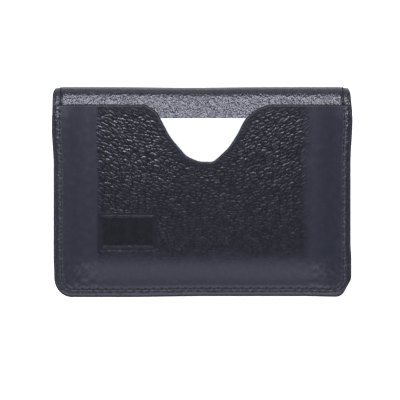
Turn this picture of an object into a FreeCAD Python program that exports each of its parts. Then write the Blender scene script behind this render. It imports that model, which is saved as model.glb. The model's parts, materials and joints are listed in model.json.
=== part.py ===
"""Bifold leather card holder that opens like a notepad, with an outer slip pocket and a card in it.

Sizes are in millimetres. The closed holder lies on its back cover: X runs along the fold, +Y points to
the fold, +Z goes up through the front cover, and the origin is the centre of the base.

From the bottom up, the closed stack is: back cover, board, lining and two card slots; a gap; then two
card slots, lining, board and front cover, with the outer pocket and its card on top. The spine joins
the two halves. It rolls out flat over three creases on the outer face: the back one, the middle one and
the front one, which split it into a back part and a front part.
"""
import FreeCAD, Part
import math
import os

# Driving dimensions
WIDTH = 98.0            # along the fold
HEIGHT = 68.0           # from the free edge to the outside of the fold
CORNER_R = 6.4          # the free edge's corners
COVER_T = 1.2           # outer leather
LINING_T = 0.8          # inner leather
BOARD_T = 0.4           # stiffener, let into the lining
SLOT_T = 0.8            # leather of the inner card slots
POCKET_T = 1.0          # leather of the outer pocket
CLOSED_GAP = 1.4        # between the two halves when closed
SPINE_R = 3.6           # outside of the fold
FRONT_SLOPE = math.radians(12.0)   # the front cover leans down to the fold by this much

CARD_W, CARD_H, CARD_T = 85.6, 53.98, 0.76
CARD_CORNER_R = 3.18
CARD_CLEARANCE = 0.07   # above and below the card
CARD_BOTTOM_INSET = 3.92

MOUTH_BELOW_TOP = 5.74  # outer pocket's mouth, from the outside of the fold
NOTCH_DEPTH = 18.46
NOTCH_R = 9.5           # bottom of the thumb notch
NOTCH_LEAN = math.radians(30.5)    # the notch's sides, from the upright
NOTCH_LEFT_R = 4.5      # shoulders at the mouth
NOTCH_RIGHT_R = 9.0

# The pocket's middle stands over the card: (side inset, bottom inset, run of the slope), all at ROOT_DEPTH
RAISED_OUTSIDE = (3.6, 2.95, 1.4)
RAISED_INSIDE = (4.5, 3.4, 0.9)
ROOT_DEPTH = 2.0        # below the front cover's outer face

TALL_SLOT_TOP = 20.0    # Y of the mouths of the inner card slots
SHORT_SLOT_TOP = 8.0
SLOT_MOUTH_R = 2.0
BOARD_INSET = 5.0
BOARD_TOP = 23.0
LEAST_CORNER_R = 1.0

SEAM_INSET = 2.5
GROOVE_W = 0.8
GROOVE_DEPTH = 0.5
THREAD_D = 0.42
STITCH_PITCH = 2.65
STITCH_L = 1.9
SEAM_END_GAP = 0.4      # bare leather between the front seam's last stitch and the crease

EMBLEM_CENTRE = (-24.2, -13.0)
EMBLEM_SIZE = (19.6, 12.4)
EMBLEM_R = 1.0
EMBLEM_DEPTH = 0.15

# Worked out from them
HALF_W = WIDTH / 2
TOP_Y = HEIGHT / 2
EDGE_Y = -HEIGHT / 2
SPINE_Y = TOP_Y - SPINE_R
MOUTH_Y = TOP_Y - MOUTH_BELOW_TOP
BACK_STACK = COVER_T + LINING_T + 2 * SLOT_T
FRONT_STACK = 2 * SLOT_T + LINING_T + COVER_T
FRONT_Z = BACK_STACK + CLOSED_GAP + FRONT_STACK          # the front cover's outer face
CARD_SPACE = CARD_T + 2 * CARD_CLEARANCE
POCKET_TOP_Z = FRONT_Z + CARD_SPACE + POCKET_T
BACK_CREASE = -math.pi / 2                               # round the fold, from +Y towards +Z
FRONT_CREASE = math.pi / 2 - FRONT_SLOPE
MIDDLE_CREASE = (BACK_CREASE + FRONT_CREASE) / 2
CREASE_Y = SPINE_Y + SPINE_R * math.cos(FRONT_CREASE)    # the front crease
CREASE_Z = SPINE_R + SPINE_R * math.sin(FRONT_CREASE)
BEND_Y = CREASE_Y - (FRONT_Z - CREASE_Z) / math.tan(FRONT_SLOPE)
FAR = 100.0             # for cutters that pass right through the holder
TOLERANCE = 1e-6


def vector(x, y, z):
    return FreeCAD.Vector(x, y, z)


def box(x0, x1, y0, y1, z0, z1):
    return Part.makeBox(x1 - x0, y1 - y0, z1 - z0, vector(x0, y0, z0))


# Outlines seen from above

def tray_wire(side, bottom, y_end, z):
    """The holder's outline, moved in by side and bottom, with a square top at y_end."""
    x = HALF_W - side
    y = EDGE_Y + bottom
    r = max(CORNER_R - max(side, bottom), LEAST_CORNER_R)
    k = r * (1 - math.sqrt(0.5))
    left, right = vector(-x, y_end, z), vector(x, y_end, z)
    edges = [
        Part.LineSegment(left, vector(-x, y + r, z)).toShape(),
        Part.Arc(vector(-x, y + r, z), vector(-x + k, y + k, z), vector(-x + r, y, z)).toShape(),
        Part.LineSegment(vector(-x + r, y, z), vector(x - r, y, z)).toShape(),
        Part.Arc(vector(x - r, y, z), vector(x - k, y + k, z), vector(x, y + r, z)).toShape(),
        Part.LineSegment(vector(x, y + r, z), right).toShape(),
        Part.LineSegment(right, left).toShape(),
    ]
    return Part.Wire(edges)


def tray(side, bottom, y_end, z0, z1):
    return Part.Face(tray_wire(side, bottom, y_end, z0)).extrude(vector(0, 0, z1 - z0))


def seam_ring(y_end):
    """A tall U-shaped prism over the seam, as wide as its groove."""
    outer, inner = SEAM_INSET - GROOVE_W / 2, SEAM_INSET + GROOVE_W / 2
    return tray(outer, outer, y_end, -FAR, FAR).cut(tray(inner, inner, y_end, -FAR, FAR))


def rounded_plate(centre, size, radius, z0, z1):
    x, y = centre
    w, h = size
    plate = box(x - w / 2, x + w / 2, y - h / 2, y + h / 2, z0, z1)
    uprights = [e for e in plate.Edges if abs(e.Vertexes[0].Z - e.Vertexes[-1].Z) > (z1 - z0) / 2]
    return plate.makeFillet(radius, uprights)


def notch_prism():
    """The thumb notch: a round bottom, leaning sides and a round shoulder on each side of the mouth."""
    lean_x, lean_y = math.sin(NOTCH_LEAN), math.cos(NOTCH_LEAN)
    bottom_y = MOUTH_Y - NOTCH_DEPTH
    low_x, low_y = NOTCH_R * lean_y, bottom_y + NOTCH_R - NOTCH_R * lean_x
    corner_x = low_x + (MOUTH_Y - low_y) * math.tan(NOTCH_LEAN)
    half = (math.pi / 2 - NOTCH_LEAN) / 2
    edges = [Part.Arc(vector(-low_x, low_y, 0), vector(0, bottom_y, 0), vector(low_x, low_y, 0)).toShape()]
    above = []
    for sign, radius in ((-1, NOTCH_LEFT_R), (1, NOTCH_RIGHT_R)):
        reach = radius * math.tan(half)
        low = vector(sign * low_x, low_y, 0)
        high = vector(sign * (corner_x - reach * lean_x), MOUTH_Y - reach * lean_y, 0)
        end = vector(sign * (corner_x + reach), MOUTH_Y, 0)
        bulge = vector(sign * radius * math.sin(half), radius * (1 - math.cos(half)), 0)
        above.append(end + vector(0, FAR, 0))
        edges += [
            Part.LineSegment(low, high).toShape(),
            Part.Arc(high, end - bulge, end).toShape(),
            Part.LineSegment(end, above[-1]).toShape(),
        ]
    edges.append(Part.LineSegment(above[0], above[1]).toShape())
    outline = Part.Wire(Part.sortEdges(edges)[0])
    return Part.Face(outline).extrude(vector(0, 0, FAR))


# Layers of the front half, which lean down to the fold

def front_line(depth):
    """Y-Z points of the surface at depth inside the front cover's outer face, from the free edge to the fold."""
    z = FRONT_Z - depth
    return [
        (EDGE_Y, z),
        (BEND_Y - depth * math.tan(FRONT_SLOPE / 2), z),
        (CREASE_Y - depth * math.sin(FRONT_SLOPE), CREASE_Z - depth * math.cos(FRONT_SLOPE)),
    ]


def front_layer(outer, inner):
    points = front_line(outer) + front_line(inner)[::-1]
    corners = [vector(-HALF_W, y, z) for y, z in points]
    section = Part.Face(Part.makePolygon(corners + corners[:1]))
    layer = section.extrude(vector(WIDTH, 0, 0))
    return layer.common(tray(0, 0, TOP_Y, -FAR, FAR))


def fold_point(depth, angle):
    """A point at depth inside the fold's outer face, at the holder's left end."""
    r = SPINE_R - depth
    return vector(-HALF_W, SPINE_Y + r * math.cos(angle), SPINE_R + r * math.sin(angle))


def spine_layer(outer, inner, start, end):
    """A sector of a tube round the fold, between two depths inside its outer face."""
    middle = (start + end) / 2
    edges = [
        Part.Arc(fold_point(outer, start), fold_point(outer, middle), fold_point(outer, end)).toShape(),
        Part.LineSegment(fold_point(outer, end), fold_point(inner, end)).toShape(),
        Part.Arc(fold_point(inner, end), fold_point(inner, middle), fold_point(inner, start)).toShape(),
        Part.LineSegment(fold_point(inner, start), fold_point(outer, start)).toShape(),
    ]
    return Part.Face(Part.Wire(edges)).extrude(vector(WIDTH, 0, 0))


# Back half

def back_cover():
    cover = tray(0, 0, SPINE_Y, 0, COVER_T)
    groove = seam_ring(SPINE_Y).common(box(-FAR, FAR, -FAR, FAR, -FAR, GROOVE_DEPTH))
    return cover.cut(groove)


def back_board():
    return tray(BOARD_INSET, BOARD_INSET, BOARD_TOP, COVER_T, COVER_T + BOARD_T)


def back_lining():
    return tray(0, 0, SPINE_Y, COVER_T, COVER_T + LINING_T).cut(back_board())


def slot_panel(y_end, z0):
    """A card slot's leather, sewn in at the sides and the free edge, with its mouth's corners eased."""
    panel = tray(0, 0, y_end, z0, z0 + SLOT_T)
    corners = [
        e for e in panel.Edges
        if all(abs(v.Y - y_end) < TOLERANCE for v in e.Vertexes) and abs(e.Length - SLOT_T) < TOLERANCE
    ]
    return panel.makeFillet(SLOT_MOUTH_R, corners)


# Front half

def front_cover():
    cover = front_layer(0, COVER_T)
    bare = box(-HALF_W, HALF_W, MOUTH_Y, TOP_Y, 0, FAR)
    groove = seam_ring(TOP_Y).common(front_layer(-COVER_T, GROOVE_DEPTH)).common(bare)
    return cover.cut(groove)


def front_board():
    z = FRONT_Z - COVER_T
    return tray(BOARD_INSET, BOARD_INSET, BOARD_TOP, z - BOARD_T, z)


def front_lining():
    return front_layer(COVER_T, COVER_T + LINING_T).cut(front_board())


def raised_block(side, bottom, rise, z0, z1):
    """A block with sloping sides, rise smaller all round at the top, open past the pocket's mouth."""
    low = tray_wire(side, bottom, TOP_Y, z0)
    high = tray_wire(side + rise, bottom + rise / 2, TOP_Y, z1)
    return Part.makeLoft([low, high], True, True)


def front_pocket():
    """The margins lie on the cover, and the middle stands over the card's space."""
    margin = front_layer(-POCKET_T, 0)
    root_z = FRONT_Z - ROOT_DEPTH
    middle = raised_block(*RAISED_OUTSIDE, root_z, POCKET_TOP_Z).common(front_layer(-FAR, 0))
    space = raised_block(*RAISED_INSIDE, root_z, FRONT_Z + CARD_SPACE)
    panel = margin.fuse(middle).cut(space)
    panel = panel.cut(box(-HALF_W, HALF_W, MOUTH_Y, FAR, 0, FAR))
    panel = panel.cut(notch_prism())
    panel = panel.cut(seam_ring(TOP_Y).common(front_layer(-FAR, GROOVE_DEPTH - POCKET_T)))
    emblem = rounded_plate(EMBLEM_CENTRE, EMBLEM_SIZE, EMBLEM_R, POCKET_TOP_Z - EMBLEM_DEPTH, FAR)
    return panel.cut(emblem).removeSplitter()


def front_card():
    bottom_y = EDGE_Y + CARD_BOTTOM_INSET
    z = FRONT_Z + CARD_CLEARANCE
    centre = (0, bottom_y + CARD_H / 2)
    return rounded_plate(centre, (CARD_W, CARD_H), CARD_CORNER_R, z, z + CARD_T)


# Spine

def spine_cover(start, end):
    """Outer leather between two creases, with the seam's groove near each end of the fold."""
    shell = spine_layer(0, COVER_T, start, end)
    for sign in (-1, 1):
        x = sign * (HALF_W - SEAM_INSET)
        strip = box(x - GROOVE_W / 2, x + GROOVE_W / 2, SPINE_Y - FAR, SPINE_Y + FAR, -FAR, FAR)
        shell = shell.cut(strip.common(spine_layer(-COVER_T, GROOVE_DEPTH, start, end)))
    return shell


def spine_lining(start, end):
    return spine_layer(COVER_T, COVER_T + LINING_T, start, end)


# Seams: one short round thread for each stitch, lying in the groove

def stitch(x, y, z, direction):
    r = THREAD_D / 2
    half = STITCH_L / 2 - r
    start = vector(x, y, z) - direction * half
    ends = [Part.makeSphere(r, start), Part.makeSphere(r, start + direction * (2 * half))]
    return Part.makeCylinder(r, 2 * half, start, direction).fuse(ends).removeSplitter()


def seam_places(y_end):
    """Places and directions along the seam, down one side, round the free edge and up the other side."""
    x, r = HALF_W - SEAM_INSET, CORNER_R - SEAM_INSET
    corner_x, corner_y = HALF_W - CORNER_R, EDGE_Y + CORNER_R
    side, arc, bottom = y_end - corner_y, r * math.pi / 2, 2 * corner_x
    total = 2 * side + 2 * arc + bottom
    count = round(total / STITCH_PITCH)
    for i in range(count):
        s = (i + 0.5) * total / count
        mirror = 1
        if s > total / 2:
            s, mirror = total - s, -1
        if s < side:
            place, heading = (-x, y_end - s), (0, -1)
        elif s < side + arc:
            a = (s - side) / r
            place = (-corner_x - r * math.cos(a), corner_y - r * math.sin(a))
            heading = (math.sin(a), -math.cos(a))
        else:
            place, heading = (-corner_x + s - side - arc, EDGE_Y + SEAM_INSET), (1, 0)
        yield place[0] * mirror, place[1], heading[0], heading[1] * mirror


def back_stitching():
    z = GROOVE_DEPTH - THREAD_D / 2
    return Part.makeCompound([stitch(x, y, z, vector(dx, dy, 0)) for x, y, dx, dy in seam_places(SPINE_Y)])


def front_surface(y):
    """Height and slope of the front cover's outer face at y."""
    if y < BEND_Y:
        return FRONT_Z, 0.0
    return FRONT_Z - (y - BEND_Y) * math.tan(FRONT_SLOPE), FRONT_SLOPE


def front_stitching():
    """On the outer pocket's margin, and past its mouth on the cover itself."""
    threads = []
    for x, y, dx, dy in seam_places(CREASE_Y - SEAM_END_GAP):
        surface, slope = front_surface(y)
        leather = POCKET_T if y < MOUTH_Y else 0.0
        lift = (leather - GROOVE_DEPTH + THREAD_D / 2) / math.cos(slope)
        direction = vector(dx, dy * math.cos(slope), -dy * math.sin(slope))
        threads.append(stitch(x, y, surface + lift, direction))
    return Part.makeCompound(threads)


def spine_stitching(start, end):
    r = SPINE_R - GROOVE_DEPTH + THREAD_D / 2
    sweep = end - start
    count = round(sweep * r / STITCH_PITCH)
    threads = []
    for sign in (-1, 1):
        for i in range(count):
            a = start + (i + 0.5) * sweep / count
            y, z = SPINE_Y + r * math.cos(a), SPINE_R + r * math.sin(a)
            threads.append(stitch(sign * (HALF_W - SEAM_INSET), y, z, vector(0, -math.sin(a), math.cos(a))))
    return Part.makeCompound(threads)


def parts():
    slot_z = COVER_T + LINING_T
    return {
        "back_cover": back_cover(),
        "back_board": back_board(),
        "back_lining": back_lining(),
        "back_tall_slot": slot_panel(TALL_SLOT_TOP, slot_z),
        "back_short_slot": slot_panel(SHORT_SLOT_TOP, slot_z + SLOT_T),
        "back_stitching": back_stitching(),
        "spine_back_cover": spine_cover(BACK_CREASE, MIDDLE_CREASE),
        "spine_back_lining": spine_lining(BACK_CREASE, MIDDLE_CREASE),
        "spine_back_stitching": spine_stitching(BACK_CREASE, MIDDLE_CREASE),
        "spine_front_cover": spine_cover(MIDDLE_CREASE, FRONT_CREASE),
        "spine_front_lining": spine_lining(MIDDLE_CREASE, FRONT_CREASE),
        "spine_front_stitching": spine_stitching(MIDDLE_CREASE, FRONT_CREASE),
        "front_cover": front_cover(),
        "front_board": front_board(),
        "front_lining": front_lining(),
        "front_tall_slot": slot_panel(TALL_SLOT_TOP, FRONT_Z - slot_z - SLOT_T),
        "front_short_slot": slot_panel(SHORT_SLOT_TOP, FRONT_Z - slot_z - 2 * SLOT_T),
        "front_pocket": front_pocket(),
        "front_stitching": front_stitching(),
        "front_card": front_card(),
    }


def main():
    os.makedirs("parts", exist_ok=True)
    for name, shape in parts().items():
        shape.exportStep(f"parts/{name}.step")
        print(name, len(shape.Solids), "solids", round(shape.Volume, 1), "mm3", shape.isValid())
    for name, angle in (("back", BACK_CREASE), ("middle", MIDDLE_CREASE), ("front", FRONT_CREASE)):
        place = fold_point(0, angle)
        print(name, "crease: y", round(place.y, 4), "z", round(place.z, 4))
    print("front face z", round(FRONT_Z, 3), "pocket top z", round(POCKET_TOP_Z, 3), "bend y", round(BEND_Y, 3))


main()
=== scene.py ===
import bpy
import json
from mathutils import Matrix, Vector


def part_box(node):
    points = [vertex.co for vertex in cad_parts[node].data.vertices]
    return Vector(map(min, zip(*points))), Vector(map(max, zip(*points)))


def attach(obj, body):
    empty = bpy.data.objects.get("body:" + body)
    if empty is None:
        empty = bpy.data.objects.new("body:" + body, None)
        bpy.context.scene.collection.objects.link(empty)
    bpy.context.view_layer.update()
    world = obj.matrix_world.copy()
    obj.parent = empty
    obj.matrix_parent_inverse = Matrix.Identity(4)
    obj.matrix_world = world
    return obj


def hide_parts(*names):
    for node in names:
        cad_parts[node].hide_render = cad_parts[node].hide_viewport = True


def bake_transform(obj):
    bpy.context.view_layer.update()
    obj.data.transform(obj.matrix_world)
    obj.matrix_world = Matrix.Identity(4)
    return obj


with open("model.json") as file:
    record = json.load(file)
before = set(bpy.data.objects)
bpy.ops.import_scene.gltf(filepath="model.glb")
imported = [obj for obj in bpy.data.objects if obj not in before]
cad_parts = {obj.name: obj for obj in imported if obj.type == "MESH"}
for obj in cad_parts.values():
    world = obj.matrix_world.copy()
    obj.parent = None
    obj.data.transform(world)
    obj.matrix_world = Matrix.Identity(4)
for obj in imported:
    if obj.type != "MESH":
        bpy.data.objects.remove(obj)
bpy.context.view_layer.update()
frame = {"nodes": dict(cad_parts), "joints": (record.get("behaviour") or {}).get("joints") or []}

# Looks of a bifold leather card holder with an outer slip pocket. Sizes are in millimetres until a mesh
# is made. Every sheet of leather is drawn flat, as x along the fold and t from its free edge towards the
# fold, with a depth below its outer face, and is then bent round the fold.
import json
import math

import bpy
import numpy as np
from mathutils import Vector
from mathutils.geometry import delaunay_2d_cdt

MM = 0.001

# ---------------------------------------------------------------- sizes that come from the frame


def node_box(node):
    return [np.array(corner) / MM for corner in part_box(node)]


hinges = [joint for joint in frame["joints"] if joint["type"] == "hinge"]
joint_at = {joint["name"]: np.array(joint["pos_m"]) / MM for joint in hinges}
HALF_W = node_box("back_cover")[1][0]
EDGE_Y = node_box("back_cover")[0][1]
COVER_T = node_box("back_cover")[1][2]
LINING_T = node_box("back_lining")[1][2] - COVER_T
FRONT_Z = node_box("front_cover")[1][2]
MOUTH_Y = node_box("front_pocket")[1][1]
CARD_TOP_Z = node_box("front_card")[1][2]
FOLD_Y = joint_at["back_crease"][1]
_, MIDDLE_Y, MIDDLE_Z = joint_at["middle_crease"]
_, CREASE_Y, CREASE_Z = joint_at["front_crease"]
FOLD_R = ((MIDDLE_Y - FOLD_Y) ** 2 + MIDDLE_Z ** 2) / (2 * MIDDLE_Z)
SWEEP = math.atan2(CREASE_Z - FOLD_R, CREASE_Y - FOLD_Y) + math.pi / 2     # round the fold
LEAN = math.pi - SWEEP                                                     # of the front's top strip
LEAN_LENGTH = (FRONT_Z - CREASE_Z) / math.sin(LEAN)
BEND_Y = CREASE_Y - LEAN_LENGTH * math.cos(LEAN)

# ---------------------------------------------------------------- sizes that are only looks
SEAM_SIDE, SEAM_BOTTOM, SEAM_R = 2.65, 2.5, 3.9
PITCH = 2.65
STITCH_LENGTH = 2.15
THREAD_R = 0.18
CORNER_R = 6.3           # of the free edge's left corner, and of both where a rim's distance is worked out
GRID = 0.25              # spacing of the points that carry the pocket's grain
PLAIN_GRID = 0.5         # where the leather is burnished
FINE_GRID = 0.17         # beside a seam
HIDDEN_GRID = 1.2        # on the front's cover, under the pocket
HIDDEN_T = 52            # how far up that reaches
BESIDE_SEAM = 0.7        # reach of the finer points on each side of a seam
CLEAR_OF_SEAM = 0.8      # the other points keep this far away
POCKET_T = 1.0
POCKET_OVER_CARD = 0.9   # from the card's face to the pocket's outer face
EMBLEM_CENTRE, EMBLEM_HALF, EMBLEM_R = (-24.2, -13.0), (9.8, 6.2), 1.4
EMBLEM_DEPTH = 0.06


def smooth(value, start, end):
    """A soft step from 0 at start to 1 at end."""
    t = np.clip((np.asarray(value, float) - start) / (end - start), 0, 1)
    return t * t * (3 - 2 * t)


def bell(value, centre, width):
    return np.exp(-((value - centre) / width) ** 2)


# ---------------------------------------------------------------- grain

REPEAT = 256             # cells after which noise and pebbles repeat


def noise(x, y, size, seed):
    """Smooth noise from -1 to 1, with blobs of that size."""
    table = np.random.default_rng(seed).uniform(-1, 1, (REPEAT, REPEAT))
    u, v = x / size, y / size
    i, j = np.floor(u).astype(int), np.floor(v).astype(int)
    across, up = smooth(u - i, 0, 1), smooth(v - j, 0, 1)

    def row(j):
        left, right = table[i % REPEAT, j % REPEAT], table[(i + 1) % REPEAT, j % REPEAT]
        return left * (1 - across) + right * across

    return row(j) * (1 - up) + row(j + 1) * up


def layered(x, y, size, seed):
    """Three layers of noise, each half the size and half as strong as the last, from about -1 to 1."""
    return sum(noise(x, y, size / 2 ** k, seed + k) / 2 ** k for k in range(3)) / 1.6


def pebbles(x, y, width, height, seed):
    """Leather grain: 0 in the creases and up to about 1 on the pebbles, each about width by height."""
    rng = np.random.default_rng(seed)
    shift_u, shift_v, lot = rng.random((3, REPEAT, REPEAT))
    u, v = x / width, y / height
    i, j = np.floor(u).astype(int), np.floor(v).astype(int)
    near = np.full(np.shape(u), np.inf)
    second = near.copy()
    tall = np.zeros(np.shape(u))
    for a in (-1, 0, 1):
        for b in (-1, 0, 1):
            cell = (i + a) % REPEAT, (j + b) % REPEAT
            far = np.hypot(i + a + shift_u[cell] - u, j + b + shift_v[cell] - v)
            closer = far < near
            second = np.where(closer, near, np.minimum(second, far))
            tall = np.where(closer, lot[cell], tall)
            near = np.minimum(near, far)
    return smooth(second - near, 0, 0.38) * (0.6 + 0.4 * tall) * (1.08 - 0.25 * np.minimum(near, 1) ** 2)


# ---------------------------------------------------------------- the outer leather's section

S_FOLD = FOLD_Y - EDGE_Y
S_CREASE = S_FOLD + FOLD_R * SWEEP
S_BEND = S_CREASE + LEAN_LENGTH
S_END = S_BEND + BEND_Y - EDGE_Y
S_BACK_JOIN = S_FOLD + FOLD_R * SWEEP / 4         # middle of each half of the spine
S_FRONT_JOIN = S_FOLD + FOLD_R * SWEEP * 3 / 4
BEND_SOFTNESS = 1.0      # half the length over which the leather turns
CREASE_SOFTNESS = 1.3


def make_section(step=0.02):
    """Y, Z and heading along the outer face, from the back's free edge over the fold to the front's."""
    s = np.arange(-1, S_END + 1, step)
    middle = s[:-1] + step / 2
    heading = np.clip((middle - S_FOLD) / FOLD_R, 0, SWEEP)
    reach = round(CREASE_SOFTNESS / step)
    average = np.full(2 * reach + 1, 1 / (2 * reach + 1))
    heading = np.convolve(np.pad(heading, reach, "edge"), average, "valid")
    heading += LEAN * smooth(middle, S_BEND - BEND_SOFTNESS, S_BEND + BEND_SOFTNESS)
    y = EDGE_Y - 1 + np.append(0, np.cumsum(np.cos(heading)) * step)
    z = np.append(0, np.cumsum(np.sin(heading)) * step)
    z -= (z[-1] - FRONT_Z) * smooth(s, S_FOLD - CREASE_SOFTNESS, S_CREASE + CREASE_SOFTNESS)
    return s, y, z, np.append(heading, math.pi)


SECTION = make_section()
PAST_CREASE = SECTION[0] > S_CREASE
T_MOUTH = S_END - np.interp(-MOUTH_Y, -SECTION[1][PAST_CREASE], SECTION[0][PAST_CREASE])


def on_section(s, depth):
    """Y and Z at depth below the outer face."""
    y, z, heading = (np.interp(s, SECTION[0], part) for part in SECTION[1:])
    return y - depth * np.sin(heading), z + depth * np.cos(heading)


def front_face_z(y):
    """Height of the front cover's outer face."""
    return np.interp(-y, -SECTION[1][PAST_CREASE], SECTION[2][PAST_CREASE])


# ---------------------------------------------------------------- the hand-made outline

def uneven(x, y):
    """Moves nominal places to a hand-made outline: the sides draw in, most below the notch, the free edge
    stands out at its ends, and the fold stands out, least in its middle."""
    left = 0.14 + 0.56 * (1 - smooth(y, 9, 20)) + 0.2 * (1 - smooth(y, -27, -21))
    right = 0.35 * smooth(y, 26, 31) + 0.64 * (1 - smooth(y, 9, 24)) - 0.25 * (1 - smooth(y, -22, -17))
    side = np.where(x < 0, left, -right) * (np.abs(x) / HALF_W) ** 4
    free_edge = (0.3 * smooth(x, -24, 2) - 0.2 * smooth(x, 33, 43) - 0.3) * (1 - smooth(y, -34, -24))
    fold = (0.55 - 0.25 * bell(x, -4, 17)) * smooth(y, 26, 34)
    return x + side, y + free_edge + fold


def tucked(x, y):
    """Draws in the margins past the seam where they pass round the fold."""
    past = np.clip((y - (FOLD_Y + 0.2)) / (FOLD_R - 0.2), 0, 1)
    inset = 2.0 * (1 - np.sqrt(1 - past ** 2)) * smooth(np.abs(x), HALF_W - SEAM_SIDE, HALF_W)
    return x - np.sign(x) * inset, y


# ---------------------------------------------------------------- outlines

def rounded(corners, step=0.3):
    """A closed outline through corners of (x, y, radius), counter-clockwise, with points every step."""
    arcs = []
    for k, (x, y, radius) in enumerate(corners):
        here = np.array((x, y))
        back = np.array(corners[k - 1][:2]) - here
        ahead = np.array(corners[(k + 1) % len(corners)][:2]) - here
        back, ahead = back / np.linalg.norm(back), ahead / np.linalg.norm(ahead)
        if radius == 0:
            arcs.append(here[None])
            continue
        turn = math.pi - math.acos(np.clip(back @ ahead, -1, 1))
        side = np.sign(ahead[0] * back[1] - ahead[1] * back[0])
        inward = (back + ahead) / np.linalg.norm(back + ahead)
        centre = here + inward * radius / math.cos(turn / 2)
        count = max(2, math.ceil(radius * turn / step))
        angle = side * turn * (np.arange(count + 1) / count - 0.5)
        across = np.array((-inward[1], inward[0]))
        arcs.append(centre - radius * (np.outer(np.cos(angle), inward) + np.outer(np.sin(angle), across)))
    points = []
    for k, arc in enumerate(arcs):
        start, end = arc[-1], arcs[(k + 1) % len(arcs)][0]
        count = max(1, math.ceil(np.linalg.norm(end - start) / step))
        straight = start + np.outer(np.arange(1, count) / count, end - start)
        points += [arc, straight]
    return np.vstack(points)


# corners at the free edge, as (share of HALF_W, t, radius)
FREE_CORNERS = [(-1, 0, CORNER_R), (1 - 3.4 / HALF_W, 0, 3.2), (1, 5.7, 3.0)]


def sheet_outline(top, top_radius=0.0):
    """One half's outline up to t = top."""
    corners = [(x * HALF_W, t, radius) for x, t, radius in FREE_CORNERS]
    return rounded(corners + [(HALF_W, top, top_radius), (-HALF_W, top, top_radius)])


def stretch_outline(join_low, join_high):
    """Outline of a stretch of the outer leather or the lining, and the lines where its neighbours go on.
    A half runs from its free edge to a join. The fold has two joins, and join_low is None on a half."""
    if join_low is None:
        return sheet_outline(join_high), (join_high,)
    corners = ((-HALF_W, join_low), (HALF_W, join_low), (HALF_W, join_high), (-HALF_W, join_high))
    return rounded([(x, t, 0) for x, t in corners]), (join_low, join_high)


def inward_normals(outline, flush=()):
    """Directions for insetting an outline. Points on a flush line, where the next piece goes on, only
    move along it."""
    along = np.roll(outline, -1, 0) - np.roll(outline, 1, 0)
    along /= np.linalg.norm(along, axis=1)[:, None]
    normals = np.stack([-along[:, 1], along[:, 0]], 1)
    for line in flush:
        on_it = np.abs(outline[:, 1] - line) < 1e-6
        normals[on_it] = np.stack([-outline[on_it, 0] / HALF_W, np.zeros(on_it.sum())], 1)
    return normals


def inside(points, outline):
    """Which points lie inside a closed outline."""
    x, y = points.T
    found = np.zeros(len(points), bool)
    for (x0, y0), (x1, y1) in zip(outline, np.roll(outline, -1, 0)):
        if y0 != y1:
            found ^= ((y0 > y) != (y1 > y)) & (x < x0 + (y - y0) * (x1 - x0) / (y1 - y0))
    return found


def scatter(outline, spacing):
    """Staggered points inside an outline."""
    low, high = outline.min(0), outline.max(0)
    rows = np.arange(low[1], high[1], spacing * math.sqrt(0.75))
    columns = np.arange(low[0], high[0], spacing)
    x, y = np.meshgrid(columns, rows)
    x = x + np.where(np.arange(len(rows)) % 2, spacing / 2, 0)[:, None]
    points = np.stack([x.ravel(), y.ravel()], 1)
    return points[inside(points, outline)]


def distance_to(outline, points):
    """Distance from each point to the nearest point of an outline."""
    found = np.empty(len(points))
    for k in range(0, len(points), 2000):
        part = points[k:k + 2000]
        found[k:k + 2000] = np.sqrt(((part[:, None] - outline[None]) ** 2).sum(2).min(1))
    return found


# ---------------------------------------------------------------- meshes

def triangles(ring, points, lines=()):
    """Triangles over a closed ring, the points inside it and closed lines that must show as edges."""
    loops = [ring, *lines]
    edges, first = [], 0
    for loop in loops:
        edges += [(first + k, first + (k + 1) % len(loop)) for k in range(len(loop))]
        first += len(loop)
    flat = np.vstack([*loops, points])
    made = delaunay_2d_cdt([Vector(p) for p in flat], edges, [], 1, 1e-5)
    assert len(made[0]) == len(flat), "the triangulation merged points"
    return flat, [list(face) for face in made[2]]


def plate(outline, profile, spacing, dense, flush=(), plain_spacing=2.0, lines=()):
    """A closed sheet. profile is (inset, depth) from the face that carries the grain to the plain one, and
    dense changes the points inside the grain face. Returns x, t and depth of every point, and the faces."""
    normals = inward_normals(outline, flush)
    rings = [outline + normals * inset for inset, _ in profile]
    gap = outline + normals * (profile[0][0] + spacing * 0.6)
    points = dense(scatter(gap, spacing), gap)
    face, face_triangles = triangles(rings[0], points, lines)
    plain_gap = outline + normals * (profile[-1][0] + 1)
    plain, plain_triangles = triangles(rings[-1], scatter(plain_gap, plain_spacing))
    count = len(outline)
    flat, depth, faces = [face], [np.full(len(face), float(profile[0][1]))], list(face_triangles)
    above, first = 0, len(face)
    for k in range(1, len(profile)):
        layer = plain if k == len(profile) - 1 else rings[k]
        flat.append(layer)
        depth.append(np.full(len(layer), float(profile[k][1])))
        for i in range(count):
            j = (i + 1) % count
            faces.append([above + j, above + i, first + i, first + j])
        above, first = first, first + len(layer)
    faces += [[above + k for k in reversed(face)] for face in plain_triangles]
    flat, depth = np.vstack(flat), np.concatenate(depth)
    return flat[:, 0], flat[:, 1], depth, faces


def edge_profile(thickness, radius, depth=0.0, steps=3):
    """Rounded edge of a sheet from its grain side, at depth, to the other side."""
    angles = np.linspace(0, math.pi / 2, steps + 1)
    bend = [(radius * (1 - math.sin(a)), radius * (1 - math.cos(a))) for a in angles]
    down = [(inset, depth + np.sign(thickness) * drop) for inset, drop in bend]
    up = [(inset, depth + thickness - np.sign(thickness) * drop) for inset, drop in reversed(bend)]
    return down + up


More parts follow.
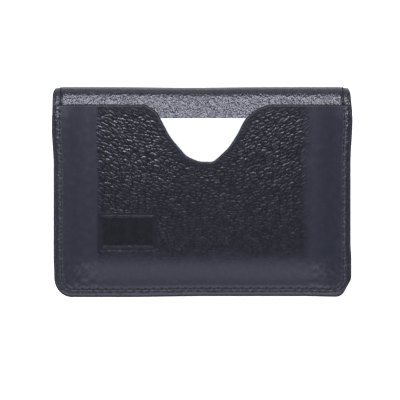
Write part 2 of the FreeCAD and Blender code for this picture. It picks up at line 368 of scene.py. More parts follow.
def build(name, places, faces, slot, grain, fields=None):
    """A mesh piece from places in millimetres, wound so that its faces look outwards. grain is each
    point's place on the flat leather, and fields are what else the material reads."""
    mesh = bpy.data.meshes.new(name)
    corners = np.array([places[face[:3]] for face in faces])
    volume = np.einsum("ij,ij->i", corners[:, 0], np.cross(corners[:, 1], corners[:, 2])).sum()
    volume += sum(places[f[0]] @ np.cross(places[f[2]], places[f[3]]) for f in faces if len(f) == 4)
    if volume < 0:
        faces = [face[::-1] for face in faces]
    mesh.from_pydata((places * MM).tolist(), [], faces)
    mesh.shade_smooth()
    for key, values in (fields or {}).items():
        attribute = mesh.attributes.new(key, "FLOAT", "POINT")
        attribute.data.foreach_set("value", np.asarray(values, np.float32))
    attribute = mesh.attributes.new("grain", "FLOAT_VECTOR", "POINT")
    attribute.data.foreach_set("vector", np.asarray(grain, np.float32).ravel())
    piece = bpy.data.objects.new(name, mesh)
    bpy.context.scene.collection.objects.link(piece)
    mesh.materials.append(materials[slot])
    return piece


# ---------------------------------------------------------------- materials

def new_material(name):
    made = bpy.data.materials.new(name)
    made.use_nodes = True
    made.node_tree.nodes.clear()
    return made, made.node_tree


def add(tree, kind, settings=None, **inputs):
    """A node with its settings and inputs. An input is a value, or another node's output socket. Its
    name is the socket's in lower case with underscores, or _0, _1 and so on by position."""
    node = tree.nodes.new("ShaderNode" + kind)
    for key, value in (settings or {}).items():
        setattr(node, key, value)
    for key, value in inputs.items():
        if key[1:].isdigit():
            socket = node.inputs[int(key[1:])]
        else:
            socket = next(s for s in node.inputs if s.enabled and s.name.lower().replace(" ", "_") == key)
        if isinstance(value, bpy.types.NodeSocket):
            tree.links.new(value, socket)
        else:
            socket.default_value = value
    return node


def field(tree, name):
    return add(tree, "Attribute", {"attribute_name": name}).outputs["Fac"]


def place_in(tree):
    return add(tree, "Attribute", {"attribute_name": "grain"}).outputs["Vector"]


def math_node(tree, operation, a, b=0.0, clamp=False):
    return add(tree, "Math", {"operation": operation, "use_clamp": clamp}, _0=a, _1=b).outputs[0]


def mix_colours(tree, share, low, high, blend="MIX"):
    node = add(tree, "Mix", {"data_type": "RGBA", "blend_type": blend})
    for socket, value in zip((node.inputs[0], node.inputs[6], node.inputs[7]), (share, low, high)):
        if isinstance(value, bpy.types.NodeSocket):
            tree.links.new(value, socket)
        else:
            socket.default_value = value if isinstance(value, float) else (*value, 1.0)
    return node.outputs[2]


def spread(tree, value, low, high, to_low=0.0, to_high=1.0):
    node = add(tree, "MapRange", {"clamp": True}, _0=value, _1=low, _2=high, _3=to_low, _4=to_high)
    return node.outputs[0]


def speckle(tree, size, detail=3.0, roughness=0.55):
    """Noise from 0 to 1 with blobs of about that size in millimetres."""
    return add(tree, "TexNoise", vector=place_in(tree), scale=0.7 / size, detail=detail,
               roughness=roughness).outputs["Fac"]


def bumped(tree, layers):
    """Chains bumps of (height socket, depth in millimetres)."""
    normal = None
    for height, deep in layers:
        inputs = {"strength": 1.0, "distance": deep * MM, "height": height}
        if normal is not None:
            inputs["normal"] = normal
        normal = add(tree, "Bump", **inputs).outputs["Normal"]
    return normal


def multiplied(tree, tone, by):
    return mix_colours(tree, 1.0, tone, by, "MULTIPLY")


def surface(tree, **inputs):
    """Ends a material with one principled shader."""
    shader = add(tree, "BsdfPrincipled", **inputs)
    add(tree, "OutputMaterial", surface=shader.outputs[0])


def leather(name, crease, body, burnished_sheen, edge, rough, micro, pore_size=0.42, shine=0.5):
    """Dyed leather. crease is the colour painted as shade in the grain's creases, body the colour on the
    pebbles, burnished the lighter colour painted as sheen on the burnished leather, and edge is the painted
    edge's colour, which the rims take and which also paints shade along the seams. micro and pore_size are
    the depth and width of the finest grain in millimetres."""
    made, tree = new_material(name)
    clouds = speckle(tree, 14, 2.0)
    mottle = speckle(tree, 1.6, 4.0)
    pores = add(tree, "TexVoronoi", {"feature": "SMOOTH_F1"}, vector=place_in(tree),
                scale=1 / pore_size, smoothness=0.6).outputs["Distance"]
    grain = field(tree, "height")
    polish_and_sheen = field(tree, "burnished_sheen")
    rim_and_seam_shade = field(tree, "rim_and_seam_shade")
    # painted shade: where the grain's height is low, in its creases, the darker crease colour stands in for
    # the shade there
    tone = mix_colours(tree, spread(tree, grain, 0.05, 0.75), crease, body)
    # painted sheen: the burnished leather takes a lighter colour that stands in for the sheen of the light on
    # it
    tone = mix_colours(tree, polish_and_sheen, tone, burnished_sheen)
    tone = mix_colours(tree, spread(tree, clouds, 0.3, 0.7), tone, multiplied(tree, tone, (1.08, 1.08, 1.09)))
    tone = mix_colours(tree, spread(tree, mottle, 0.25, 0.75, 0.0, 0.25), tone,
                       multiplied(tree, tone, (0.62, 0.62, 0.66)))
    scuffs = spread(tree, speckle(tree, 0.9, 5.0), 0.56, 0.7)
    scuffed = math_node(tree, "MULTIPLY", scuffs, field(tree, "wear"))
    tone = mix_colours(tree, scuffed, tone, (0.09, 0.085, 0.095))
    # the painted edge's colour on the rims, and painted shade in the seams' grooves and holes
    tone = mix_colours(tree, rim_and_seam_shade, tone, edge)
    roughness = math_node(tree, "ADD", spread(tree, mottle, 0.2, 0.8, -0.03, 0.04), rough)
    roughness = math_node(tree, "ADD", roughness, math_node(tree, "MULTIPLY", polish_and_sheen, 0.03))
    roughness = math_node(tree, "ADD", roughness, math_node(tree, "MULTIPLY", rim_and_seam_shade, 0.6), clamp=True)
    raw = math_node(tree, "SUBTRACT", 1.0, math_node(tree, "MULTIPLY", polish_and_sheen, 0.9), clamp=True)
    layers = [
        (math_node(tree, "MULTIPLY", pores, raw), micro * 1.6),
        (math_node(tree, "MULTIPLY", speckle(tree, 0.3, 3.0), raw), micro),
    ]
    surface(tree, base_color=tone, roughness=roughness, normal=bumped(tree, layers), specular_ior_level=shine,
            sheen_weight=0.04, sheen_roughness=0.4, sheen_tint=(0.5, 0.55, 0.8, 1.0))
    return made


def thread_material():
    """Dull dark polyester, with fibres and long faded stretches."""
    made, tree = new_material("thread")
    fibres = spread(tree, speckle(tree, 0.25), 0.3, 0.7)
    faded = spread(tree, speckle(tree, 6.0), 0.35, 0.7)
    tone = mix_colours(tree, fibres, (0.002, 0.002, 0.005), (0.006, 0.006, 0.012))
    tone = mix_colours(tree, faded, tone, (0.004, 0.004, 0.008))
    surface(tree, base_color=tone, roughness=spread(tree, speckle(tree, 0.5), 0.2, 0.8, 0.6, 0.8),
            specular_ior_level=0.2, normal=bumped(tree, [(speckle(tree, 0.12), 0.03)]))
    return made


def generated_place(tree):
    """Object coordinates in millimetres, for CAD nodes, which carry no fields."""
    place = add(tree, "TexCoord").outputs["Object"]
    return add(tree, "VectorMath", {"operation": "SCALE"}, _0=place, scale=1 / MM).outputs[0]


def card_material():
    """Laminated white plastic with a fine satin texture and a few handling marks."""
    made, tree = new_material("card")
    place = generated_place(tree)
    fine = add(tree, "TexNoise", vector=place, scale=4.0, detail=3.0).outputs["Fac"]
    smudge = add(tree, "TexNoise", vector=place, scale=0.09, detail=4.0).outputs["Fac"]
    tone = mix_colours(tree, spread(tree, smudge, 0.35, 0.7), (0.92, 0.92, 0.92), (0.88, 0.885, 0.89))
    rough = math_node(tree, "ADD", spread(tree, smudge, 0.3, 0.7, 0.3, 0.42),
                      spread(tree, fine, 0.3, 0.7, -0.03, 0.03))
    surface(tree, base_color=tone, roughness=rough, normal=bumped(tree, [(fine, 0.004)]))
    return made


def board_material():
    """Bonded leather fibre board: brown, with flecks."""
    made, tree = new_material("fibre_board")
    place = generated_place(tree)
    flecks = add(tree, "TexNoise", vector=place, scale=1.8, detail=5.0, roughness=0.7).outputs["Fac"]
    tone = mix_colours(tree, spread(tree, flecks, 0.35, 0.65), (0.10, 0.06, 0.035), (0.26, 0.18, 0.11))
    surface(tree, base_color=tone, roughness=spread(tree, flecks, 0.2, 0.8, 0.75, 0.95),
            normal=bumped(tree, [(flecks, 0.08)]))
    return made


PAINTED_EDGE, CUT_EDGE = (0.003, 0.003, 0.005), (0.020, 0.019, 0.022)

# crease colours are darker, painted shade in the grain's creases; burnished colours are lighter, painted
# sheen on the burnished leather
materials = {
    "outer_leather": leather("outer_leather", crease=(0.006, 0.006, 0.010), body=(0.016, 0.016, 0.025),
                             burnished_sheen=(0.020, 0.0205, 0.033), edge=PAINTED_EDGE, rough=0.25, micro=0.052,
                             pore_size=0.62, shine=0.42),
    "pocket_leather": leather("pocket_leather", crease=(0.003, 0.0029, 0.0055), body=(0.009, 0.0088, 0.015),
                              burnished_sheen=(0.015, 0.0155, 0.0255), edge=PAINTED_EDGE, rough=0.23, micro=0.008),
    "lining_leather": leather("lining_leather", crease=(0.012, 0.012, 0.017), body=(0.020, 0.020, 0.028),
                              burnished_sheen=(0.022, 0.022, 0.030), edge=CUT_EDGE, rough=0.55, micro=0.02),
    "slot_leather": leather("slot_leather", crease=(0.010, 0.010, 0.015), body=(0.020, 0.020, 0.030),
                            burnished_sheen=(0.024, 0.024, 0.036), edge=CUT_EDGE, rough=0.42, micro=0.03),
    "thread": thread_material(),
    "card": card_material(),
    "fibre_board": board_material(),
}

# ---------------------------------------------------------------- seams


def sewn(away, hole):
    """How far the leather is pulled down along a seam. hole is 1 at the needle's holes."""
    return -0.08 * np.exp(-(away / 0.8) ** 2) - 0.24 * np.exp(-(away / 0.32) ** 2) * hole ** 5


def finer_beside(seam, low=0.0):
    """Finer points beside a seam, past t = low."""
    def dense(points, gap):
        fine = scatter(gap, FINE_GRID)
        beside = (seam.near(*fine.T)[0] < BESIDE_SEAM) & (fine[:, 1] > low)
        kept = (seam.near(*points.T)[0] > CLEAR_OF_SEAM) | (points[:, 1] < low)
        return np.vstack([points[kept], fine[beside]])
    return dense


def finer_past_pocket(points, gap):
    """On the front's cover: few points under the pocket, where the leather doesn't show."""
    coarse = scatter(gap, HIDDEN_GRID)
    kept = np.vstack([coarse[coarse[:, 1] < HIDDEN_T - 0.5], points[points[:, 1] > HIDDEN_T]])
    return finer_beside(front_seam, HIDDEN_T + 0.2)(kept, gap)


class SewnLine:
    """What both kinds of seam share. near gives the distance from the seam and the place along it."""

    dull_and_shaded_between = 0.3       # how dull, and how dark as painted shade, the seam is between its holes

    def holes(self, x, t):
        away, p = self.near(x, t)
        return away, np.cos(math.pi * p / self.pitch) ** 2

    def relief(self, x, t):
        return sewn(*self.holes(x, t))

    def shade(self, x, t):
        """Painted shade: the leather is coloured dark in the seam's groove, most at the holes, and is dull
        there.
        """
        away, hole = self.holes(x, t)
        dullness = self.dull_and_shaded_between + (1 - self.dull_and_shaded_between) * hole ** 2
        return 0.9 * np.exp(-(away / 0.5) ** 2) * dullness


class Seam(SewnLine):
    """The U of stitches on one half, up to t = top, with a hole at both ends of every stitch. p runs
    along it from the middle of the free edge."""

    def __init__(self, top):
        self.bottom = HALF_W - SEAM_SIDE - SEAM_R
        self.corner = self.bottom + SEAM_R * math.pi / 2
        self.length = self.corner + top - SEAM_BOTTOM - SEAM_R
        self.count = round(self.length / PITCH)
        self.pitch = self.length / self.count

    def place(self, p):
        """x and t at p, on the side that p's sign says."""
        side, p = np.where(p < 0, -1, 1), np.abs(p)
        angle = np.clip((p - self.bottom) / SEAM_R, 0, math.pi / 2)
        x = np.minimum(p, self.bottom) + SEAM_R * np.sin(angle)
        t = SEAM_BOTTOM + SEAM_R * (1 - np.cos(angle)) + np.maximum(p - self.corner, 0)
        return side * x, t

    def near(self, x, t):
        """Distance from the seam, and p."""
        u, v = np.abs(x) - self.bottom, SEAM_BOTTOM + SEAM_R - t
        reach = np.hypot(np.maximum(u, 0), np.maximum(v, 0))
        away = np.abs(np.where((u > 0) | (v > 0), reach, np.maximum(u, v)) - SEAM_R)
        angle = np.arctan2(np.maximum(u, 0), np.maximum(v, 1e-9))
        p = np.where(v < 0, self.corner - v, np.where(u < 0, np.abs(x), self.bottom + SEAM_R * angle))
        return away, p


class FoldSeam(SewnLine):
    """The two short straight seams over the fold, between the joins."""

    dull_and_shaded_between = 0.05

    def __init__(self, start, end):
        self.start = start
        self.count = round((end - start) / PITCH)
        self.pitch = (end - start) / self.count

    def place(self, p):
        side = np.where(p < 0, -1, 1)
        return side * (HALF_W - SEAM_SIDE), self.start + np.abs(p)

    def near(self, x, s):
        return np.abs(np.abs(x) - (HALF_W - SEAM_SIDE)), s - self.start


back_seam = Seam(S_BACK_JOIN)
front_seam = Seam(S_END - S_FRONT_JOIN)
fold_seam = FoldSeam(S_BACK_JOIN, S_FRONT_JOIN)


def stitches(name, centres, seam, bend, body=None):
    """Two-ply threads, one for each stitch. bend gives the real place of (x, t, height above the leather).
    They lie flush and dive into the leather at their ends."""
    points, sides = 9, 8
    along = np.linspace(-1, 1, points)
    p = np.asarray(centres)[:, None] + along * (STITCH_LENGTH / 2) * np.sign(centres)[:, None]
    lift = np.broadcast_to(-THREAD_R * (1.15 + 1.2 * np.abs(along) ** 3), p.shape)
    x, t = seam.place(p)
    middle, above = bend(x, t, lift), bend(x, t, lift + 0.1)
    ahead = np.gradient(middle, axis=1)
    ahead /= np.linalg.norm(ahead, axis=2)[..., None]
    up = above - middle
    up -= (up * ahead).sum(2)[..., None] * ahead
    up /= np.linalg.norm(up, axis=2)[..., None]
    across = np.cross(ahead, up)
    taper = np.sqrt(np.maximum(1 - np.abs(along) ** 6, 0.02))
    angle = 2 * math.pi * np.arange(sides) / sides
    twist = 1 + 0.13 * np.cos(2 * angle[None, :] - 5.0 * along[:, None])
    ring = THREAD_R * taper[:, None] * twist
    places = (middle[:, :, None] + across[:, :, None] * (ring * np.cos(angle))[None, ..., None]
              + up[:, :, None] * (ring * np.sin(angle))[None, ..., None]).reshape(-1, 3)
    faces = []
    for first in range(0, len(places), points * sides):
        for k in range(points - 1):
            low = first + k * sides
            for i in range(sides):
                j = (i + 1) % sides
                faces.append([low + i, low + j, low + sides + j, low + sides + i])
        faces.append(list(range(first, first + sides))[::-1])
        faces.append(list(range(first + (points - 1) * sides, first + points * sides)))
    flat = [np.repeat(x, sides, 1).ravel(), np.repeat(t, sides, 1).ravel(), np.tile(angle, x.size) * THREAD_R]
    piece = build(name, places, faces, "thread", np.stack(flat, 1))
    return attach(piece, body) if body else piece


def centres_between(seam, start, end):
    """Places of the stitches that lie wholly between two p values, on both sides."""
    middles = (np.arange(seam.count) + 0.5) * seam.pitch
    half = seam.pitch / 2
    kept = middles[(middles - half >= start - 1e-6) & (middles + half <= end + 1e-6)]
    return np.concatenate([-kept[::-1], kept])


# ---------------------------------------------------------------- the outer leather and the lining

NO_EDGE = 30.0           # stands for the distance to the free edge on the fold, which has none


def outer_grain(x, s):
    """Fine rounded grain of the outer leather."""
    wander = 0.25 * layered(x, s, 3.0, 11)
    return pebbles(x + wander, s - wander, 0.85, 0.75, 5)


def bend_outer(x, s, depth):
    """Real place of a point of the outer leather or the lining."""
    y, z = on_section(s, depth)
    return np.stack([*uneven(*tucked(x, y)), z], -1)


def fold_pinch(x, s):
    """Past the seams the fold is pressed a little flatter."""
    over = smooth(s, S_FOLD - 2, S_FOLD + 2) * (1 - smooth(s, S_CREASE - 2, S_CREASE + 3))
    return -0.22 * over * smooth(np.abs(x), HALF_W - SEAM_SIDE - 0.8, HALF_W - SEAM_SIDE + 0.6)


def rim_distance(x, t):
    """Distance from one half's own outline, without the fold."""
    u, v = np.abs(x) - (HALF_W - CORNER_R), CORNER_R - t
    reach = np.hypot(np.maximum(u, 0), np.maximum(v, 0))
    return CORNER_R - np.where((u > 0) | (v > 0), reach, np.maximum(u, v))


def leather_fields(x, t, depth, height, polish_and_sheen):
    """What the leather material reads: grain height, which also sets painted shade in the creases; polish,
    with its painted sheen; the painted rim; and wear beside it.
    """
    edge = rim_distance(x, t)
    off_face = smooth(np.abs(depth), 0.02, 0.3)
    return {
        "height": height,
        "burnished_sheen": np.full_like(x, polish_and_sheen),
        "rim_and_seam_shade": np.maximum(off_face * smooth(edge, 0.9, 0.3), smooth(edge, 0.55, 0.1)),
        "wear": 0.6 * smooth(edge, 1.6, 0.2) * (1 - off_face),
    }


def outer_piece(name, join_low, join_high, seam, from_back, spacing, dense=None):
    """A stretch of the outer leather, as stretch_outline says. t runs from the back's free edge, or from
    the front's if from_back is false."""
    outline, flush = stretch_outline(join_low, join_high)
    profile = edge_profile(COVER_T, 0.4)
    x, t, depth, faces = plate(outline, profile, spacing, dense or finer_beside(seam), flush)
    from_edge = t if join_low is None else np.full_like(t, NO_EDGE)
    s = t if from_back else S_END - t
    on_face = 1 - smooth(depth, 0, 0.4)
    height = outer_grain(x, s)
    fine = 0.014 * layered(x, s, 0.9, 31)
    round_fold = smooth(s, S_FOLD - 1, S_FOLD + 3) * (1 - smooth(s, S_CREASE - 1.2, S_CREASE + 0.8))
    raised = 0.05 * (1 - 0.75 * round_fold)
    relief = raised * (height - 0.7) + fine * (1 - 0.6 * round_fold)
    rise = on_face * (relief + seam.relief(x, t) + fold_pinch(x, s))
    dome = -0.16 * smooth(rim_distance(x, from_edge), 1.8, 0) * on_face
    places = bend_outer(x, s, depth - rise - dome)
    fields = leather_fields(x, from_edge, depth, height, 0.0)
    # painted shade along the seam, dark in its groove and holes
    fields["rim_and_seam_shade"] = np.maximum(fields["rim_and_seam_shade"], seam.shade(x, t))
    return build(name, places, faces, "outer_leather", np.stack([x, s, depth], 1), fields)


def join_line(s):
    """The place and direction of the leather at a join."""
    y, z = on_section(s, 0)
    ahead = np.interp(s, SECTION[0], SECTION[3])
    return np.array((0, y, z)), np.array((0, math.cos(ahead), math.sin(ahead)))


def blend_back(piece):
    place, ahead = join_line(S_BACK_JOIN)
    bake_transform(piece)


def blend_front(piece):
    place, ahead = join_line(S_FRONT_JOIN)
    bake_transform(piece)


def blend_fold(piece):
    place, ahead = join_line((S_BACK_JOIN + S_FRONT_JOIN) / 2)
    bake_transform(piece)


cover_back = outer_piece("cover_back", None, S_BACK_JOIN, back_seam, True, 0.36)
blend_back(cover_back)
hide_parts("back_cover")

cover_fold = outer_piece("cover_fold", S_BACK_JOIN, S_FRONT_JOIN, fold_seam, True, 0.26)
blend_fold(cover_fold)
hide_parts("spine_back_cover", "spine_front_cover")

cover_front = outer_piece("cover_front", None, S_END - S_FRONT_JOIN, front_seam, False, 0.27,
                          finer_past_pocket)
blend_front(cover_front)
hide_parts("front_cover")


def lining_piece(name, join_low, join_high, seam, from_back, spacing=0.6):
    """A stretch of the lining, which lies inside the outer leather, grain side inwards."""
    outline, flush = stretch_outline(join_low, join_high)
    profile = edge_profile(-LINING_T, 0.25, COVER_T + LINING_T)
    x, t, depth, faces = plate(outline, profile, spacing, finer_beside(seam), flush)
    from_edge = t if join_low is None else np.full_like(t, NO_EDGE)
    s = t if from_back else S_END - t
    below = COVER_T + LINING_T - depth
    on_face = 1 - smooth(below, 0, 0.3)
    height = 0.5 + 0.5 * layered(x, s, 0.8, 41)
    dip = on_face * (seam.relief(x, t) + 0.02 * (height - 1))
    places = bend_outer(x, s, depth + dip)
    fields = leather_fields(x, from_edge, below, height, 0.3)
    return build(name, places, faces, "lining_leather", np.stack([x, s, depth], 1), fields)


lining_back = lining_piece("lining_back", None, S_BACK_JOIN, back_seam, True)
blend_back(lining_back)
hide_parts("back_lining")

lining_fold = lining_piece("lining_fold", S_BACK_JOIN, S_FRONT_JOIN, fold_seam, True, 0.3)
blend_fold(lining_fold)
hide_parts("spine_back_lining", "spine_front_lining")

lining_front = lining_piece("lining_front", None, S_END - S_FRONT_JOIN, front_seam, False)
blend_front(lining_front)
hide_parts("front_lining")

# ---------------------------------------------------------------- the outer pocket

# corners of the notch from the right, as (x, depth below the mouth, radius)
NOTCH = [(16.1, 0, 12.0), (11.6, 9.36, 20.0), (8.6, 14.06, 14.0), (3.6, 18.66, 3.0), (-1.0, 18.5, 6.0),
         (-5.0, 16.76, 6.0), (-10.3, 10.56, 18.0), (-14.6, 2.36, 4.0), (-18.3, 0, 1.5)]
MOUTH_CORNER_R = 0.8
CARD_GAP = 0.05
PAD = 0.1                # the pocket's leather puffs a little beside its seam
MARGIN = 3.6             # width of the wrinkled leather along the sewn sides


def pocket_outline():
    corners = [(x * HALF_W, EDGE_Y + t, radius) for x, t, radius in FREE_CORNERS]
    notch = [(x, MOUTH_Y - drop, radius) for x, drop, radius in NOTCH]
    right, left = (HALF_W, MOUTH_Y, MOUTH_CORNER_R), (-HALF_W, MOUTH_Y, MOUTH_CORNER_R)
    return rounded([*corners, right, *notch, left], 0.28)


def over_card(x, y):
    """1 where the pocket stands over the card, 0 on its sewn margins."""
    return smooth(HALF_W - np.abs(x), 2.9, 6.0) * smooth(y - EDGE_Y, 2.5, 3.6)


def pocket_faces_z(x, y):
    """Heights of the pocket's outer and inner face, without grain."""
    over = over_card(x, y)
    swell = smooth(HALF_W - np.abs(x), 3.0, 12) * smooth(y - EDGE_Y, 2.4, 14)
    cover = front_face_z(y)
    edge = rim_distance(x, y - EDGE_Y)
    puffed = PAD * smooth(edge, 0.6, 2.6)
    lying = 0.15 * cover + 0.85 * FRONT_Z + POCKET_T + puffed - 0.16 * smooth(edge, 1.6, 0)
    standing = CARD_TOP_Z + CARD_GAP + POCKET_OVER_CARD
    return lying * (1 - swell) + standing * swell, cover * (1 - over) + (CARD_TOP_Z + CARD_GAP) * over


def polished_with_sheen(x, y):
    """The burnished U beside the seam, smooth leather that the material also paints lighter as sheen, with a
    sharp inner edge on the left and soft ones elsewhere.
    """
    wobble = 0.5 * noise(x, y, 4.0, 71)
    left = 1 - smooth(x + 0.3 * wobble, -34.6, -33.6)
    right = smooth(x + 2 * wobble, 31.5, 37)
    low = 1 - smooth(y + 2 * wobble, -24, -18.5)
    return 1 - (1 - left) * (1 - right) * (1 - low)


def grain_strength(x, y):
    """The grain is boldest beside the notch, most on its left, and fades to the bottom."""
    left_of_notch = 0.3 * bell(x, -24, 15) * bell(y, 14, 17)
    right_of_notch = 0.22 * bell(x, 24, 13) * bell(y, 14, 13)
    return (0.72 + left_of_notch + right_of_notch) * (0.72 + 0.28 * smooth(y, -26, 6))


def pocket_grain(x, y):
    """Pebbles in rows that bow down in the middle: most curved near the mouth, level lower down."""
    bow = 0.0085 * smooth(y, -30, 16)
    v = y - bow * x ** 2
    wander_x = 0.5 * layered(x, y, 3.5, 21)
    wander_v = 0.45 * layered(x, y, 3.0, 22)
    coarse = pebbles(x + wander_x, v + wander_v, 2.3, 0.92, 3)
    fine = pebbles(x + wander_x, v + wander_v, 1.2, 0.55, 4)
    return 0.76 * coarse + 0.24 * fine


def in_emblem(x, y):
    """Distance from the blank emblem's outline, negative inside."""
    u = np.abs(x - EMBLEM_CENTRE[0]) - EMBLEM_HALF[0] + EMBLEM_R
    v = np.abs(y - EMBLEM_CENTRE[1]) - EMBLEM_HALF[1] + EMBLEM_R
    return np.hypot(np.maximum(u, 0), np.maximum(v, 0)) + np.minimum(np.maximum(u, v), 0) - EMBLEM_R


def emblem_line(grow):
    """The emblem's outline, moved outwards."""
    cx, cy = EMBLEM_CENTRE
    w, h = EMBLEM_HALF[0] + grow, EMBLEM_HALF[1] + grow
    ways = ((-1, -1), (1, -1), (1, 1), (-1, 1))
    return rounded([(cx + a * w, cy + b * h, EMBLEM_R) for a, b in ways], 0.25)


def is_plain(x, y):
    """Where the leather is burnished flat, without the wrinkles of the margins."""
    return (polished_with_sheen(x, y) > 0.97) & (rim_distance(x, y - EDGE_Y) > MARGIN)


def pocket_points(points, gap):
    """Fewer points on burnished leather, more beside the seam, and none on the emblem's lines."""
    sparse = scatter(gap, PLAIN_GRID)
    points = np.vstack([points[~is_plain(*points.T)], sparse[is_plain(*sparse.T)]])
    away = front_seam.near(points[:, 0], points[:, 1] - EDGE_Y)[0]
    clear = np.abs(in_emblem(*points.T)) > GRID
    fine = scatter(gap, FINE_GRID)
    beside = front_seam.near(fine[:, 0], fine[:, 1] - EDGE_Y)[0] < BESIDE_SEAM
    return np.vstack([points[(away > CLEAR_OF_SEAM) & clear], fine[beside]])


def make_pocket():
    """The pocket's depth runs from 0 on its outer face to 1 on its inner face."""
    outline = pocket_outline()
    stamp_lines = (emblem_line(-0.1), emblem_line(0.1))
    x, y, depth, faces = plate(outline, edge_profile(1.0, 0.36), GRID, pocket_points, plain_spacing=2.5,
                               lines=stamp_lines)
    outer, inner = pocket_faces_z(x, y)
    on_face = 1 - smooth(depth, 0, 0.4)
    edge = distance_to(outline, np.stack([x, y], 1))
    from_rim = rim_distance(x, y - EDGE_Y)
    polish_and_sheen = polished_with_sheen(x, y)
    margin = smooth(from_rim, 3.4, 2.2)
    grain = pocket_grain(x, y)
    thinned = 0.35 + 0.65 * smooth(edge, 0.4, 3.2)
    rough = (1 - polish_and_sheen) * (1 - margin) * grain_strength(x, y) * np.where(from_rim < 4, 1, thinned)
    stamp = smooth(in_emblem(x, y), 0.3, -0.3)
    rough *= 1 - 0.93 * stamp
    from_corner = np.hypot(np.abs(x) - HALF_W, y - EDGE_Y)
    creases = 0.09 * layered(x * 1.6, y, 1.4, 81) * smooth(from_corner, 22, 8) * polish_and_sheen
    wrinkles = (0.04 * layered(x, y * 0.7, 0.8, 82) + 0.06 * (pebbles(x, y, 0.7, 0.9, 83) - 0.7)) * margin
    rise = 0.094 * rough * (grain - 0.7) + creases * (1 - margin) + wrinkles
    rise += 0.004 * layered(x, y, 0.8, 83)
    panel = smooth(in_emblem(x, y), -1.5, -1.9)
    frame_line = bell(in_emblem(x, y), -1.3, 0.3)
    rise += front_seam.relief(x, y - EDGE_Y) - EMBLEM_DEPTH * (stamp - 0.8 * frame_line)
    z = outer + (inner - outer) * depth + on_face * rise
    beside_mouth = smooth(y, 23, 28) * smooth(np.abs(x), HALF_W - SEAM_SIDE, HALF_W)
    drawn_in = np.sign(x) * 0.22 * beside_mouth
    places = np.stack([*uneven(x - drawn_in, y), z], 1)
    off_face = smooth(depth, 0.02, 0.3)
    fields = {
        # the grain's height, low in the creases where the material paints shade, and lower on the stamped
        # emblem
        "height": np.clip(1 - rough * (1 - grain) * 1.4, 0, 1) * (1 - 0.35 * stamp - 0.5 * panel),
        # the burnished U, painted lighter as sheen
        "burnished_sheen": np.clip(polish_and_sheen * (1 - 0.35 * margin), 0, 1) * (1 - stamp),
        # painted edge, and painted shade along the seam
        "rim_and_seam_shade": np.clip(off_face + smooth(edge, 0.62, 0.25) + front_seam.shade(x, y - EDGE_Y), 0, 1),
        "wear": 0.5 * smooth(from_rim, 1.6, 0.2) * (1 - off_face),
    }
    piece = build("pocket", places, faces, "pocket_leather", np.stack([x, y, depth], 1), fields)
    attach(piece, "front_half")
    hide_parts("front_pocket")


make_pocket()

# ---------------------------------------------------------------- the inner card slots


def inner_slot(node, facing):
    """A card slot's leather, sewn at its sides and its free edge. facing is the way its grain side looks:
    1 up, -1 down."""
    low, high = node_box(node)
    top = high[1] - EDGE_Y
    outline = sheet_outline(top, 1.8)
    x, t, depth, faces = plate(outline, edge_profile(1.0, 0.28), 0.6, finer_beside(back_seam))
    y = EDGE_Y + t
    on_face = 1 - smooth(depth, 0, 0.3)
    height = pebbles(x, y, 0.9, 0.8, 51)
    mouth = top - t
    crease = -0.1 * bell(mouth, 2.0, 0.28)
    rise = on_face * (0.03 * (height - 1) + crease + back_seam.relief(x, t) - 0.04 * smooth(mouth, 1.0, 0))
    face_z, other_z = (high[2], low[2]) if facing > 0 else (low[2], high[2])
    z = face_z + (other_z - face_z) * depth + facing * rise
    fields = leather_fields(x, t, depth, height, 0.5)
    fields["rim_and_seam_shade"] = np.maximum(fields["rim_and_seam_shade"], smooth(mouth, 0.6, 0.2))
    places = np.stack([*uneven(x, y), z], 1)
    piece = build(node + "_leather", places, faces, "slot_leather", np.stack([x, y, depth], 1), fields)
    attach(piece, "front_half" if node.startswith("front") else "back_half")
    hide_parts(node)


for half_name, way in (("back", 1), ("front", -1)):
    for size in ("tall", "short"):
        inner_slot(f"{half_name}_{size}_slot", way)

# ---------------------------------------------------------------- threads


def on_back(x, t, lift):
    return bend_outer(x, t, -lift)


def on_front(x, t, lift):
    """On the pocket's margin up to its mouth, and on the cover past it."""
    on_cover = bend_outer(x, S_END - t, -lift)
    y = on_section(S_END - t, 0)[0]
    on_pocket = np.stack([*uneven(x, y), pocket_faces_z(x, y)[0] + lift], -1)
    return np.where((t < T_MOUTH)[..., None], on_pocket, on_cover)


def inside_half(facing):
    """Real places on one half's inner side, which steps down from slot to slot."""
    half, face = ("back", 1) if facing > 0 else ("front", 0)
    tall, short = node_box(half + "_tall_slot"), node_box(half + "_short_slot")
    lining_z = COVER_T + LINING_T if facing > 0 else FRONT_Z - COVER_T - LINING_T

    def bend(x, t, lift):
        y = EDGE_Y + t
        z = np.where(y < short[1][1], short[face][2], np.where(y < tall[1][1], tall[face][2], lining_z))
        return np.stack([*uneven(x, y), z + facing * lift], -1)
    return bend


def clear_of(centres, seam, steps):
    """Leaves out stitches that would straddle a step in the leather."""
    t = seam.place(centres)[1]
    room = STITCH_LENGTH / 2 + 0.1
    return centres[np.all([np.abs(t - step) > room for step in steps], axis=0)]


back_centres = centres_between(back_seam, 0, back_seam.length)
back_threads = stitches("stitching_back", back_centres, back_seam, on_back)
blend_back(back_threads)
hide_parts("back_stitching")

fold_centres = centres_between(fold_seam, 0, S_FRONT_JOIN - S_BACK_JOIN)
fold_threads = stitches("stitching_fold", fold_centres, fold_seam, on_back)
blend_fold(fold_threads)
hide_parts("spine_back_stitching", "spine_front_stitching")

front_centres = clear_of(centres_between(front_seam, 0, front_seam.length), front_seam, [T_MOUTH])
front_threads = stitches("stitching_front", front_centres, front_seam, on_front)
blend_front(front_threads)
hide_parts("front_stitching")

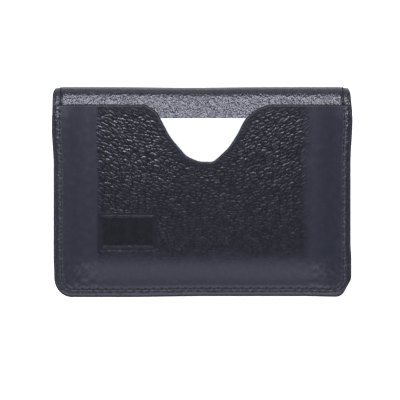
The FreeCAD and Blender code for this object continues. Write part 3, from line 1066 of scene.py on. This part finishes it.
INNER_SEAM_LENGTH = 52   # of the stitches that show inside, from the corner
mouths = [node_box(slot)[1][1] - EDGE_Y for slot in ("back_tall_slot", "back_short_slot")]
inner = clear_of(centres_between(back_seam, 0, back_seam.corner + INNER_SEAM_LENGTH), back_seam, mouths)
for facing, body in ((1, "back_half"), (-1, "front_half")):
    stitches(body + "_inner_stitching", inner, back_seam, inside_half(facing), body)

# ---------------------------------------------------------------- CAD nodes that stay

kept_nodes = {"front_card": "card", "back_board": "fibre_board", "front_board": "fibre_board"}
for node_name, slot_name in kept_nodes.items():
    node_materials = frame["nodes"][node_name].data.materials
    node_materials.clear()
    node_materials.append(materials[slot_name])
card_edge = frame["nodes"]["front_card"].modifiers.new("eased_edge", "BEVEL")
card_edge.width = 0.12 * MM
card_edge.segments = 2
card_edge.limit_method = "ANGLE"

# ---------------------------------------------------------------- studio


COOL = (0.94, 0.96, 1.08)
KEY_TILT = math.radians(23)      # the front's leaning strip mirrors the key, and its flat face doesn't


def softbox(name, place, size, strength, colour=(1, 1, 1)):
    """An area light of that place, width, height and radiance, in metres, turned to the origin."""
    data = bpy.data.lights.new(name, "AREA")
    data.shape = "RECTANGLE"
    data.size, data.size_y = size
    data.energy = strength * math.pi * size[0] * size[1]
    data.color = colour
    made = bpy.data.objects.new(name, data)
    made.location = place
    made.rotation_euler = (Vector((0, 0, 0)) - Vector(place)).to_track_quat("-Z", "Y").to_euler()
    bpy.context.scene.collection.objects.link(made)


def floor():
    """A white floor that glows a little, just under the holder."""
    mesh = bpy.data.meshes.new("floor")
    reach = 4.0
    corners = [(-reach, -reach, 0), (reach, -reach, 0), (reach, reach, 0), (-reach, reach, 0)]
    mesh.from_pydata(corners, [], [(0, 1, 2, 3)])
    made, tree = new_material("floor")
    surface(tree, base_color=(0.9, 0.9, 0.9, 1.0), roughness=0.8, emission_color=(1.0, 1.0, 1.0, 1.0),
            emission_strength=0.85)
    mesh.materials.append(made)
    piece = bpy.data.objects.new("floor", mesh)
    piece.location.z = -0.05 * MM
    bpy.context.scene.collection.objects.link(piece)


def studio():
    floor()
    key_place = (-0.03, math.sin(KEY_TILT), math.cos(KEY_TILT))
    softbox("key", key_place, (0.6, 0.12), 35, (0.93, 0.95, 1.08))
    softbox("behind", (0, 1.0, 0.42), (1.4, 0.6), 1.4, COOL)
    softbox("front", (0, -0.42, 0.95), (0.9, 0.3), 2.7, COOL)
    softbox("fill_left", (-0.9, -0.25, 0.62), (0.7, 0.7), 2.6)
    softbox("fill_right", (0.9, -0.3, 0.6), (0.7, 0.7), 2.2)
    world = bpy.data.worlds.new("studio")
    world.use_nodes = True
    background = world.node_tree.nodes["Background"]
    background.inputs["Color"].default_value = (0.80, 0.83, 0.92, 1)
    background.inputs["Strength"].default_value = 0.12
    bpy.context.scene.world = world
    bpy.context.scene.view_settings.view_transform = "Standard"


FRAME_WIDTH = 129.8      # that the camera sees at the height of the pocket's face
CAMERA_X, CAMERA_Y = -0.65, -2.7


def camera():
    """Straight above, a little towards the free edge."""
    data = bpy.data.cameras.new("camera")
    data.lens = 150
    data.sensor_width = 36
    far = FRAME_WIDTH / data.sensor_width * data.lens
    made = bpy.data.objects.new("camera", data)
    made.location = (CAMERA_X * MM, CAMERA_Y * MM, (far + CARD_TOP_Z + POCKET_OVER_CARD) * MM)
    bpy.context.scene.collection.objects.link(made)
    bpy.context.scene.camera = made


studio()
camera()
